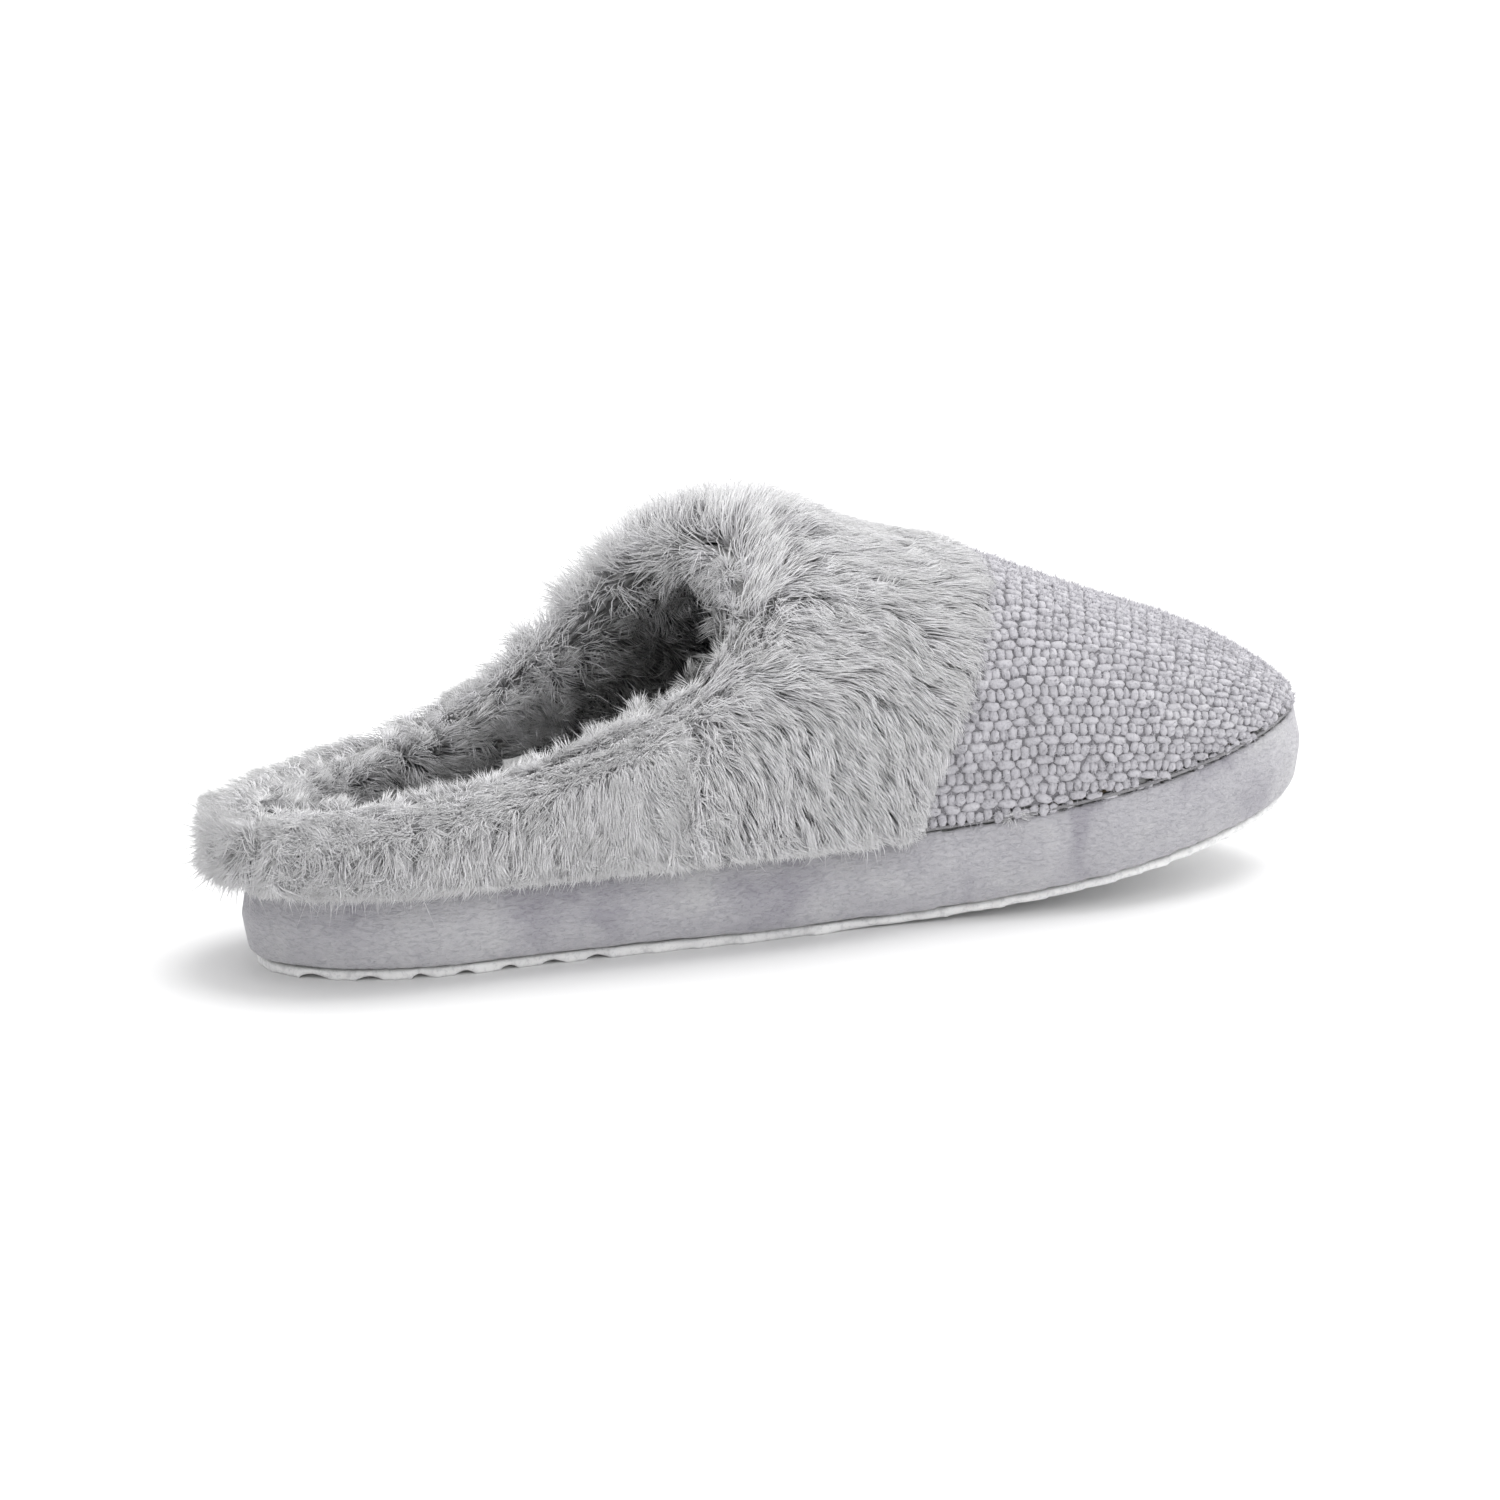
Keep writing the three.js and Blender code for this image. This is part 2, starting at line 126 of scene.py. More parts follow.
def addRamp(tree, value, stops):
    ramp = addNode(tree, "ShaderNodeValToRGB", Fac=value)
    ramp.color_ramp.interpolation = "EASE"
    while len(ramp.color_ramp.elements) < len(stops):
        ramp.color_ramp.elements.new(0.5)
    for element, (place, colour) in zip(ramp.color_ramp.elements, stops):
        element.position = place
        element.color = (*colour, 1)
    return ramp.outputs["Color"]


def grey(level, lilac=0.0):
    return (level, level * (1 - 0.010 * lilac), level * (1 + 0.026 * lilac))


def multiply(tree, first, second, amount=1.0):
    mixer = tree.nodes.new("ShaderNodeMix")
    mixer.data_type, mixer.blend_type = "RGBA", "MULTIPLY"
    mixer.inputs["Factor"].default_value = amount
    tree.links.new(first, mixer.inputs["A"])
    tree.links.new(second, mixer.inputs["B"])
    return mixer.outputs["Result"]


# Hairs carry their own map: across it runs each hair's tone, up it the hair from root to tip.
def furMaterial(name, root, middle, tip, spread, sheen, lilac):
    material = plainMaterial(name, grey(tip, lilac), 0.55)
    tree = material.node_tree
    shader = tree.nodes["Principled BSDF"]
    hairMap = addNode(tree, "ShaderNodeUVMap", {"uv_map": "OFBake"})
    parts = addNode(tree, "ShaderNodeSeparateXYZ", Vector=hairMap.outputs["UV"])
    along = addRamp(tree, parts.outputs["Y"], [(0.0, grey(root, lilac)), (0.45, grey(middle, lilac)),
                                               (1.0, grey(tip, lilac * 0.5))])
    tones = addRamp(tree, parts.outputs["X"], [(0.0, grey(1 - spread, -0.6)), (0.5, grey(1.0)),
                                               (1.0, grey(1 + spread * 0.5, 0.4))])
    tree.links.new(multiply(tree, along, tones), shader.inputs["Base Color"])
    shader.inputs["Sheen Weight"].default_value = sheen
    shader.inputs["Sheen Roughness"].default_value = 0.4
    shader.inputs["Specular IOR Level"].default_value = 0.25
    return material


# Cloth grounds: two noises tint the colour, and the finer one also lifts the nap.
def napMaterial(name, colours, patch, grain, bump, roughness, sheen, depth=0.0003):
    material = plainMaterial(name, colours[1], roughness)
    tree = material.node_tree
    shader = tree.nodes["Principled BSDF"]
    place = addNode(tree, "ShaderNodeTexCoord").outputs["Object"]
    broad = addNode(tree, "ShaderNodeTexNoise", Vector=place, Scale=patch, Detail=3.0, Roughness=0.55)
    fine = addNode(tree, "ShaderNodeTexNoise", Vector=place, Scale=grain, Detail=4.0, Roughness=0.7)
    ground = addRamp(tree, broad.outputs["Fac"], [(0.3, colours[0]), (0.52, colours[1]), (0.72, colours[2])])
    speck = addRamp(tree, fine.outputs["Fac"], [(0.3, (0.78, 0.78, 0.79)), (0.55, (1, 1, 1)), (0.75, (1.0, 1.0, 1.0))])
    tree.links.new(multiply(tree, ground, speck), shader.inputs["Base Color"])
    lift = addNode(tree, "ShaderNodeBump", Strength=bump, Distance=depth, Height=fine.outputs["Fac"])
    tree.links.new(lift.outputs["Normal"], shader.inputs["Normal"])
    shader.inputs["Sheen Weight"].default_value = sheen
    shader.inputs["Sheen Roughness"].default_value = 0.45
    shader.inputs["Specular IOR Level"].default_value = 0.2
    return material


# Velour: broad patches where the nap lies another way, and short slanting streaks.
def velourMaterial(name, dark, middle, pale):
    material = plainMaterial(name, middle, 0.8)
    tree = material.node_tree
    shader = tree.nodes["Principled BSDF"]
    place = addNode(tree, "ShaderNodeTexCoord").outputs["Object"]
    slanted = addNode(tree, "ShaderNodeMapping", Vector=place, Rotation=(0.3, 0.65, 0.0), Scale=(1.0, 1.0, 2.2))
    broad = addNode(tree, "ShaderNodeTexNoise", Vector=place, Scale=52.0, Detail=2.5, Roughness=0.5,
                    Distortion=0.5)
    streak = addNode(tree, "ShaderNodeTexNoise", Vector=slanted.outputs["Vector"], Scale=620.0, Detail=4.0,
                     Roughness=0.65, Distortion=0.7)
    patches = addRamp(tree, broad.outputs["Fac"], [(0.30, dark), (0.47, middle), (0.72, pale)])
    lines = addRamp(tree, streak.outputs["Fac"], [(0.36, (0.76, 0.76, 0.78)), (0.5, (0.93, 0.93, 0.94)),
                                                  (0.64, (1, 1, 1))])
    tree.links.new(multiply(tree, patches, lines), shader.inputs["Base Color"])
    lift = addNode(tree, "ShaderNodeBump", Strength=0.9, Distance=0.0007, Height=streak.outputs["Fac"])
    tree.links.new(lift.outputs["Normal"], shader.inputs["Normal"])
    shader.inputs["Sheen Weight"].default_value = 0.5
    shader.inputs["Sheen Roughness"].default_value = 0.45
    shader.inputs["Specular IOR Level"].default_value = 0.2
    return material


def solidCopy(name, *sources):
    shape = bmesh.new()
    for source in sources:
        shape.from_mesh(nodes[source].data)
    bmesh.ops.remove_doubles(shape, verts=shape.verts, dist=1e-6)
    mesh = bpy.data.meshes.new(name)
    shape.to_mesh(mesh)
    shape.free()
    piece = bpy.data.objects.new(name, mesh)
    scene.collection.objects.link(piece)
    return piece


def settle(piece):
    depsgraph = bpy.context.evaluated_depsgraph_get()
    mesh = bpy.data.meshes.new_from_object(piece.evaluated_get(depsgraph))
    old = piece.data
    piece.modifiers.clear()
    piece.data = mesh
    bpy.data.meshes.remove(old)
    mesh.name = piece.name
    return piece


def rounded(name, sources, voxel, rounds):
    piece = solidCopy(name, *sources)
    remesh = piece.modifiers.new("remesh", "REMESH")
    remesh.mode, remesh.voxel_size = "VOXEL", voxel
    soften = piece.modifiers.new("soften", "SMOOTH")
    soften.factor, soften.iterations = 0.5, rounds
    settle(piece)
    for face in piece.data.polygons:
        face.use_smooth = True
    return piece


def read(items, key, width, kind=float):
    values = np.empty(len(items) * width, kind)
    items.foreach_get(key, values)
    return values.reshape(-1, width)


def surfaceOf(piece):
    piece.data.calc_loop_triangles()
    return (read(piece.data.vertices, "co", 3), read(piece.data.vertices, "normal", 3),
            read(piece.data.loop_triangles, "vertices", 3, np.int32))


def treeOf(*names):
    points, faces = [], []
    for name in names:
        co, _, tris = surfaceOf(nodes[name])
        faces.extend((tris + len(points)).tolist())
        points.extend(co.tolist())
    return BVHTree.FromPolygons(points, faces)


def unit(v):
    return v / np.maximum(np.linalg.norm(v, axis=-1, keepdims=True), 1e-12)


def edgeAlong(points, side=0.0, step=0.004, pick=np.max):
    places, heights = [], []
    for start in np.arange(points[:, 0].min(), points[:, 0].max(), step):
        inside = (points[:, 0] >= start - step) & (points[:, 0] < start + 2 * step)
        if side:
            inside &= points[:, 1] * side > 0
        if inside.any():
            places.append(start + step / 2)
            heights.append(pick(points[inside, 2]))
    return np.array(places), np.array(heights)


coverEdge = edgeAlong(surfaceOf(nodes["sole_cover"])[0])
outside = treeOf(*[n for n in nodes if not n.endswith("thread") and n != "size_label"])


def coverTop(x):
    return np.interp(x, *coverEdge)


def finishPiece(piece, slot, *stoodFor):
    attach(piece, "root")
    if stoodFor:
        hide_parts(*stoodFor)
    return piece


hair = {"sides": 3, "mapWidth": 0.008}


# One closed hair a unit long: a triangle drawn up, thinned and brought to a point.
def hairShape(segments):
    shape = bmesh.new()
    made = bmesh.ops.create_circle(shape, cap_ends=True, segments=hair["sides"], radius=1)
    top = shape.faces[:][0]
    if top.normal.z > 0:
        top.normal_flip()
    ring = made["verts"]
    edges = [e for e in shape.edges]
    for step in range(segments):
        lifted = bmesh.ops.extrude_edge_only(shape, edges=edges)["geom"]
        ring = [g for g in lifted if isinstance(g, bmesh.types.BMVert)]
        edges = [g for g in lifted if isinstance(g, bmesh.types.BMEdge)]
        bmesh.ops.translate(shape, verts=ring, vec=(0, 0, 1 / segments))
        if step == segments - 1:
            bmesh.ops.scale(shape, verts=ring, vec=(0, 0, 1))
            bmesh.ops.pointmerge(shape, verts=ring, merge_co=(0, 0, 1))
        else:
            thin = (0.95, 0.75)[step] if segments == 3 else 0.8
            bmesh.ops.scale(shape, verts=ring, vec=(thin, thin, 1))
    bmesh.ops.recalc_face_normals(shape, faces=shape.faces)
    mesh = bpy.data.meshes.new("hairShape")
    shape.to_mesh(mesh)
    shape.free()
    return mesh


# Copies a small shape over and over into one mesh; places(co) gives every copy's points.
def plant(name, pattern, count, places, mapOf, material):
    co = read(pattern.vertices, "co", 3)
    corners = read(pattern.loops, "vertex_index", 1, np.int32)[:, 0]
    starts = read(pattern.polygons, "loop_start", 1, np.int32)[:, 0]
    totals = read(pattern.polygons, "loop_total", 1, np.int32)[:, 0]
    points = places(co)
    each = np.arange(count)[:, None]
    mesh = bpy.data.meshes.new(name)
    mesh.vertices.add(count * len(co))
    mesh.vertices.foreach_set("co", points.astype(np.float32).ravel())
    mesh.loops.add(count * len(corners))
    mesh.loops.foreach_set("vertex_index", (corners[None] + each * len(co)).astype(np.int32).ravel())
    mesh.polygons.add(count * len(starts))
    mesh.polygons.foreach_set("loop_start", (starts[None] + each * len(corners)).astype(np.int32).ravel())
    mesh.polygons.foreach_set("loop_total", np.tile(totals, count).astype(np.int32))
    mesh.polygons.foreach_set("use_smooth", np.ones(count * len(starts), bool))
    if mapOf is not None:
        layer = mesh.uv_layers.new(name="OFBake")
        layer.uv.foreach_set("vector", mapOf(co, corners, starts, totals).astype(np.float32).ravel())
    mesh.update(calc_edges=True)
    mesh.materials.append(material)
    piece = bpy.data.objects.new(name, mesh)
    scene.collection.objects.link(piece)
    return piece


def growHairs(name, segments, roots, knees, tips, width, tone, material):
    count = len(roots)
    pattern = hairShape(segments)
    chord = unit(tips - roots)
    helper = np.where(np.abs(chord[:, 2:3]) < 0.9, [[0, 0, 1.0]], [[1.0, 0, 0]])
    across = unit(np.cross(chord, helper))
    over = np.cross(chord, across)

    def places(co):
        h = co[None, :, 2, None]
        line = (1 - h) ** 2 * roots[:, None] + 2 * h * (1 - h) * knees[:, None] + h ** 2 * tips[:, None]
        thick = width[:, None, None]
        return line + thick * (co[None, :, 0, None] * across[:, None] + co[None, :, 1, None] * over[:, None])

    def mapOf(co, corners, starts, totals):
        angle = np.arctan2(co[:, 1], co[:, 0]) / (2 * math.pi) % 1
        place = np.zeros((len(corners), 2))
        for start, total in zip(starts, totals):
            own = corners[start:start + total]
            turn = angle[own].copy()
            rim = np.hypot(co[own, 0], co[own, 1]) > 1e-6
            if rim.any() and np.ptp(turn[rim]) > 0.5:
                turn[turn < 0.5] += 1
            if not rim.all():
                turn[~rim] = turn[rim].mean()
            place[start:start + total, 0] = turn
            place[start:start + total, 1] = 0.01 + 0.98 * co[own, 2]
        u = place[None, :, 0] * hair["mapWidth"] * 0.6 + (0.005 + 0.985 * tone[:, None]) * (1 - hair["mapWidth"])
        return np.stack([u, np.broadcast_to(place[None, :, 1], u.shape)], -1)

    piece = plant(name, pattern, count, places, mapOf, material)
    bpy.data.meshes.remove(pattern)
    return piece


# The ground that hair grows from: the solid's own shape with its bare side lowered by most of the pile.
def furGround(name, source, share, material, voxel=1.5 * mm):
    piece = rounded(name, [source], voxel, 4)
    co, normals, tris = surfaceOf(piece)
    others = treeOf(*[n for n in nodes if n != source and not n.endswith("thread")])
    own = BVHTree.FromPolygons(co.tolist(), tris.tolist())
    bare = np.zeros(len(co), bool)
    depth = np.zeros(len(co))
    for i, (p, n) in enumerate(zip(co, normals)):
        p, n = Vector(p), Vector(n)
        if others.ray_cast(p, n, 1.15 * mm)[0] is not None:
            continue
        bare[i] = True
        through = own.ray_cast(p - n * 0.2 * mm, -n, 0.02)[3]
        behind = others.find_nearest(p)[3] or 0
        depth[i] = min(share * (through or 0.02), 0.75 * behind + 1.0 * mm)
    for _ in range(6):  # evens the depth from face to face
        spread, hits = np.zeros(len(co)), np.zeros(len(co))
        for a, b in ((0, 1), (1, 2), (2, 0)):
            np.add.at(spread, tris[:, a], depth[tris[:, b]])
            np.add.at(hits, tris[:, a], 1)
        depth = np.where(bare, 0.5 * depth + 0.5 * spread / np.maximum(hits, 1), 0)
    low = co - normals * depth[:, None]
    piece.data.vertices.foreach_set("co", low.ravel())
    piece.data.update()
    piece.data.materials.clear()
    piece.data.materials.append(material)
    return piece, {"co": low, "normals": normals, "tris": tris, "bare": bare, "depth": depth}


def scatter(ground, count, rng, where=None):
    tris = ground["tris"][ground["bare"][ground["tris"]].all(1)]
    a, b, c = (ground["co"][tris[:, k]] for k in range(3))
    area = np.linalg.norm(np.cross(b - a, c - a), axis=1)
    if where is not None:
        area = area * where((a + b + c) / 3)
    picked = rng.choice(len(tris), count, p=area / area.sum())
    r1, r2 = np.sqrt(rng.random((count, 1))), rng.random((count, 1))
    weights = np.hstack([1 - r1, r1 * (1 - r2), r1 * r2])

    def blend(values):
        return np.einsum("ij,ij...->i...", weights, values[tris[picked]])
    return blend(ground["co"]), unit(blend(ground["normals"])), blend(ground["depth"])


def drift(points, size, seed, rng):
    out = np.empty((len(points), 3))
    for i, p in enumerate(points):
        out[i] = noise.noise_vector(Vector(p) / size + Vector((seed, 2.3 * seed, 7.7)))
    return out


# Brings tips that stand too far off the slipper back toward it.
def heldIn(tips, allowed):
    held = tips.copy()
    for i, (tip, most) in enumerate(zip(tips, allowed)):
        near, normal, _, far = outside.find_nearest(Vector(tip))
        gap = Vector(tip) - near
        if far > most and gap.dot(normal) > 0:
            held[i] = near + gap * (most + 0.12 * (far - most)) / far
    return held


# Hair of one panel. comb(points, normals) is the way it lies; settings give its length, lean and locks.
def furHair(name, ground, settings, comb, material, where=None):
    rng = np.random.default_rng(settings["seed"])
    count = settings["count"]
    roots, normals, depth = scatter(ground, count, rng, where)
    reach = settings["length"] * (0.78 + 0.44 * rng.random(count))
    if "grow" in settings:
        reach = reach * settings["grow"](roots)
    lay = comb(roots, normals)
    lay = lay + settings["swirl"] * drift(roots, settings["swirlSize"], settings["seed"], rng)
    lay = lay + 0.7 * settings["swirl"] * drift(roots, 0.4 * settings["swirlSize"], settings["seed"] + 9, rng)
    locks = max(4, int(count / settings["lockHairs"]))
    chosen = rng.choice(count, locks, replace=False)
    tree = KDTree(locks)
    for i, k in enumerate(chosen):
        tree.insert(Vector(roots[k]), i)
    tree.balance()
    nearest = np.array([tree.find(Vector(p))[1] for p in roots])
    lockTurn = rng.normal(0, settings["lockTurn"], (locks, 3))
    lockLift = 1 + settings["lockLift"] * rng.uniform(-1, 1, locks)
    lockTone = rng.uniform(0, 1, locks)
    lay = lay + lockTurn[nearest] + rng.normal(0, settings["stray"], (count, 3))
    lay = unit(lay - normals * np.einsum("ij,ij->i", lay, normals)[:, None])
    height = (depth * settings["stand"] + settings["proud"](roots, normals)) * lockLift[nearest]
    height = np.clip(height * rng.uniform(0.82, 1.12, count), 0.8 * mm, 0.95 * reach)
    run = np.sqrt(np.maximum(reach ** 2 - height ** 2, 0.0)) * 0.92
    tips = roots + normals * height[:, None] + lay * run[:, None]
    lockRoot, lockTip = roots[chosen][nearest], tips[chosen][nearest]
    gathered = lockTip + (roots - lockRoot) * 0.3
    pull = settings["clump"] * rng.uniform(0.55, 1.0, (count, 1))
    away = np.linalg.norm(roots - lockRoot, axis=1, keepdims=True)
    pull = pull * np.clip(1.6 - away / settings["lockReach"], 0, 1)
    tips = tips + (gathered - tips) * pull
    hang = settings["hang"] * (1 + 1.2 * (1 - ease(tips[:, 0], heelX - 2 * mm, heelX + 14 * mm)))
    floorLine = coverTop(tips[:, 0]) - hang * rng.random(count) ** 0.8
    if "front" in settings:  # tips end irregularly just past the seam
        last = settings["front"](tips) + rng.uniform(-1.5, 4.0, count) * mm
        shift = np.clip(tips[:, 0] - last, 0, 6 * mm) * 0.8
        tips[:, 0] -= shift
    low = tips[:, 2] < floorLine
    tips[low, 2] = floorLine[low] + 0.25 * (tips[low, 2] - floorLine[low])
    tips = heldIn(tips, settings["over"](tips) * rng.uniform(0.6, 1.25, count))
    knees = roots + normals * (height * settings["knee"])[:, None] + lay * (run * 0.32)[:, None]
    knees = knees + 0.25 * pull * (gathered - tips)
    width = settings["width"] * rng.uniform(0.7, 1.15, count)
    tone = 0.5 + 0.33 * (lockTone[nearest] - 0.5) + rng.normal(0, 0.16, count)
    # Some piles add painted shade to the hair's tone.
    if "paintedShade" in settings:
        tone = tone + settings["paintedShade"](roots)
    tone = np.clip(tone, 0, 1)
    return growHairs(name, settings["segments"], roots - normals * 0.3 * mm, knees, tips, width, tone, material)


outerFur = {"length": 9.8 * mm, "width": 0.15 * mm, "segments": 3, "count": 11600, "lockHairs": 24,
            "lockReach": 3.4 * mm, "lockTurn": 0.32, "lockLift": 0.17, "stray": 0.20, "clump": 0.30,
            "swirl": 0.5, "swirlSize": 12 * mm, "stand": 1.0, "knee": 0.85, "hang": 3.2 * mm}
liningFur = dict(outerFur, length=8.0 * mm, width=0.18 * mm, segments=2, count=7200, lockHairs=26,
                 lockReach=3.2 * mm, lockTurn=0.5, clump=0.5, swirl=0.9, swirlSize=9 * mm, hang=0.0, stray=0.3)


# Short dense hair under the long pile, so no ground shows between its locks.
def underCoat(name, ground, seed, count, material):
    rng = np.random.default_rng(seed)
    roots, normals, depth = scatter(ground, count, rng)
    lean = rng.normal(0, 0.5, (count, 3)) + (0, 0, -0.35)
    tips = roots + (normals + lean) * (depth * rng.uniform(0.55, 0.85, count))[:, None]
    width = 0.2 * mm * rng.uniform(0.7, 1.2, count)
    return growHairs(name, 1, roots - normals * 0.3 * mm, (roots + tips) / 2, tips, width,
                     rng.uniform(0.2, 0.7, count), material)


def mixFields(fields, weights):
    total = sum(weights) + 1e-9
    return sum(f * (w / total)[:, None] for f, w in zip(fields, weights))


def ease(value, low, high):
    t = np.clip((value - low) / (high - low), 0, 1)
    return t * t * (3 - 2 * t)


def rimShare(points, edge, reach=7 * mm):
    return ease(points[:, 2], np.interp(points[:, 0], *edge) - reach, np.interp(points[:, 0], *edge) - 1.5 * mm)


def row(x, y, z, count):
    return np.tile([[x, y, z]], (count, 1)).astype(float)


# Collar hair falls toward the sole and leans to the toe; round the heel it fans out; at the rim it stands.
def collarComb(side, edge, front):
    def comb(points, normals):
        n = len(points)
        seam = 1.5 * ease(points[:, 0], front(points) - 9 * mm, front(points) - 2 * mm)
        rim = rimShare(points, edge)
        heel = 1 - ease(points[:, 0], heelX + 14 * mm, heelX + 40 * mm)
        up = ease(points[:, 2], coverTop(points[:, 0]) + 5 * mm, coverTop(points[:, 0]) + 17 * mm)
        fall = row(-0.35, 0.10 * side, -0.95, n)
        stand = row(-0.35, 0.8 * side, 0.15, n)
        fan = np.stack([-0.45 * np.ones(n), 0.9 * (points[:, 1]) / (30 * mm), -0.9 + 1.3 * up], 1)
        cross = row(0.8, 0.1 * side, -0.6, n)
        return mixFields([fall, stand, fan, cross], [(1 - rim) * (1 - heel), rim * (1 - 0.6 * heel), 1.3 * heel,
                                                     seam])
    return comb


# Cuff hair lies toward the toe and down the sides; along the throat it stands up and back.
def cuffComb(points, normals, rear=None):
    side = np.clip(points[:, 1] / (30 * mm), -1, 1)
    throat = ease(-normals[:, 0], 0.25, 0.75)
    low = 1 - ease(points[:, 2], 38 * mm, 66 * mm)
    lay = np.stack([1 - 0.85 * low, 0.35 * side, -0.25 - 0.35 * np.abs(side) - 0.6 * low], 1)
    back = np.stack([0.25 * np.ones(len(points)), 0.8 * side, 1.0 - 0.8 * np.abs(side)], 1)
    lay[:, 2] -= 3.0 * ease(normals[:, 0], 0.45, 0.8)
    cross = row(-0.8, 0.0, -0.6, len(points))
    seam = 1.5 * (1 - ease(points[:, 0], rear(points) + 1 * mm, rear(points) + 6 * mm)) * low
    return mixFields([lay, back, cross], [1 - throat, throat, seam])


# The front edge of a panel by height, on each side of the slipper.
def frontOf(co):
    lines = {}
    for side in (-1, 1):
        own = co[co[:, 1] * side > -4 * mm]
        if len(own) < 50:
            continue
        levels = np.arange(own[:, 2].min() + 1.5 * mm, own[:, 2].max(), 2.5 * mm)
        lines[side] = levels, np.array([own[np.abs(own[:, 2] - z) < 2 * mm, 0].max() for z in levels])

    def front(points):
        sides = {side: np.interp(points[:, 2], *line) for side, line in lines.items()}
        return np.where(points[:, 1] >= 0, sides.get(1, sides.get(-1)), sides.get(-1, sides.get(1)))
    return front


def liningComb(points, normals):
    side = np.sign(points[:, 1])
    return np.stack([0.9 * np.ones(len(points)), -0.15 * side, -0.55 * np.ones(len(points))], 1)


def sockComb(points, normals):
    return row(-0.7, 0.2, 0.0, len(points))


heelX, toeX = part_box("sole_cover")[0].x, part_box("sole_cover")[1].x
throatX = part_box("vamp_foam")[0].x + 36 * mm
deepX = throatX + 8 * mm


# The cuff's hair is longest over the top of the throat, and a little toward the outer side.
def crestShare(points):
    throat = 1 - ease(points[:, 0], throatX + 2 * mm, throatX + 30 * mm)
    return throat * ease(points[:, 2], 56 * mm, 84 * mm) * ease(points[:, 1], -24 * mm, 4 * mm)


def cuffOver(tips):
    return (1.7 + 5.5 * crestShare(tips)) * mm


def makeFur():
    furLook = furMaterial("furHair", 0.60, 0.80, 0.90, 0.15, 0.3, 0.5)
    liningLook = furMaterial("liningHair", 0.44, 0.64, 0.78, 0.66, 0.15, 0.4)
    # Near-black hair for the cuff lining past deepX is painted shade deep in the throat.
    paintedShadeLook = furMaterial("throatHairPaintedShade", 0.05, 0.09, 0.14, 0.30, 0.1, 0.0)
    underLook = napMaterial("furGround", (grey(0.46), grey(0.52), grey(0.58)), 90, 900, 0.6, 0.9, 0.2)
    collarLook = napMaterial("collarFoam", (grey(0.44), grey(0.50), grey(0.56)), 120, 1500, 0.5, 0.95, 0.1)
    liningUnder = napMaterial("liningGround", (grey(0.14), grey(0.18), grey(0.22)), 90, 900, 0.6, 0.9, 0.1)

    for side, word in ((-1, "medial"), (1, "lateral")):
        source = "fur_quarter_" + word
        base, ground = furGround("furBacking" + word.capitalize(), source, 0.66, underLook)
        finishPiece(base, "faux_fur", source)
        edge, front = edgeAlong(ground["co"]), frontOf(ground["co"])
        for part, (low, high) in enumerate(((-1, -0.062), (-0.062, 1))):
            def within(points, low=low, high=high):
                return ((points[:, 0] >= low) & (points[:, 0] < high)).astype(float)

            def proud(points, normals, edge=edge):
                rim = rimShare(points, edge)
                heel = 1 - ease(points[:, 0], heelX + 10 * mm, heelX + 40 * mm)
                return (0.6 - 0.4 * rim * (1 - heel)) * mm

            def over(tips, edge=edge):
                rim = rimShare(tips, edge)
                heel = 1 - ease(tips[:, 0], heelX - 4 * mm, heelX + 20 * mm)
                return (1.7 - 0.7 * rim - 0.5 * heel) * mm
            settings = dict(outerFur, seed=11 + 2 * part + (side > 0), proud=proud, over=over)
            if part == 0:
                settings.update(length=11.5 * mm, stray=0.18)
            if side > 0:
                settings.update(count=9200, segments=2)
            piece = furHair("furPile" + word.capitalize() + ("Heel", "Side")[part], ground, settings,
                            collarComb(side, edge, front), furLook, within)
            finishPiece(piece, "faux_fur", source)
        finishPiece(underCoat("furUnder" + word.capitalize(), ground, 62 + side, 12000, furLook), "faux_fur",
                    source)
    print("collar fur grown")

    base, ground = furGround("furBackingCuff", "fur_cuff", 0.66, underLook)
    skin = ground["co"] + ground["normals"] * ground["depth"][:, None]
    cuffFront, flipped = frontOf(skin), frontOf(skin * (-1, 1, 1))

    def cuffRear(points):
        return -flipped(points)
    finishPiece(base, "faux_fur", "fur_cuff")
    for part, (low, high) in enumerate(((-1, -0.022), (-0.022, 0.022), (0.022, 1))):
        def within(points, low=low, high=high):
            return ((points[:, 1] >= low) & (points[:, 1] < high)).astype(float)

        def proud(points, normals):
            front = ease(cuffFront(points) - points[:, 0], 2 * mm, 12 * mm)
            return (0.2 + 0.7 * front - 0.5 * ease(-normals[:, 0], 0.2, 0.8) + 5.0 * crestShare(points)) * mm
        def longer(points):
            return 1 + 0.5 * crestShare(points)
        settings = dict(outerFur, seed=31 + part, proud=proud, over=cuffOver, front=cuffFront, swirl=0.6,
                        grow=longer)
        if part == 2:
            settings.update(count=9800, segments=2)
        name = "furPileCuff" + ("Medial", "Top", "Lateral")[part]
        pile = furHair(name, ground, settings, lambda p, n: cuffComb(p, n, cuffRear), furLook, within)
        finishPiece(pile, "faux_fur", "fur_cuff")
    finishPiece(underCoat("furUnderCuff", ground, 61, 17000, furLook), "faux_fur", "fur_cuff")
    print("cuff fur grown")

    # The rim is one roll of fur: hair also stands on the edge of the foam inside it.
    def tall(points):  # the roll grows toward the throat, most on the outer side
        far = ease(points[:, 1], -24 * mm, 4 * mm)
        near = np.interp(points[:, 0], [-0.08, -0.058, -0.044, -0.03, -0.02], [0.0, 0.30, 0.34, 0.1, 0.0])
        return near * (1 - far) + far * np.interp(points[:, 0], [-0.07, -0.055, -0.038, -0.02, 0.0, 0.02],
                                                  [0.0, 0.5, 1.7, 1.6, 1.35, 0.9])

    def standing(points, normals):
        return (1.5 + 7.4 * tall(points)) * mm

    def growing(points):
        return 1.05 + 0.95 * tall(points)

    def rimOver(tips):
        return (1.6 + 7.2 * tall(tips)) * mm

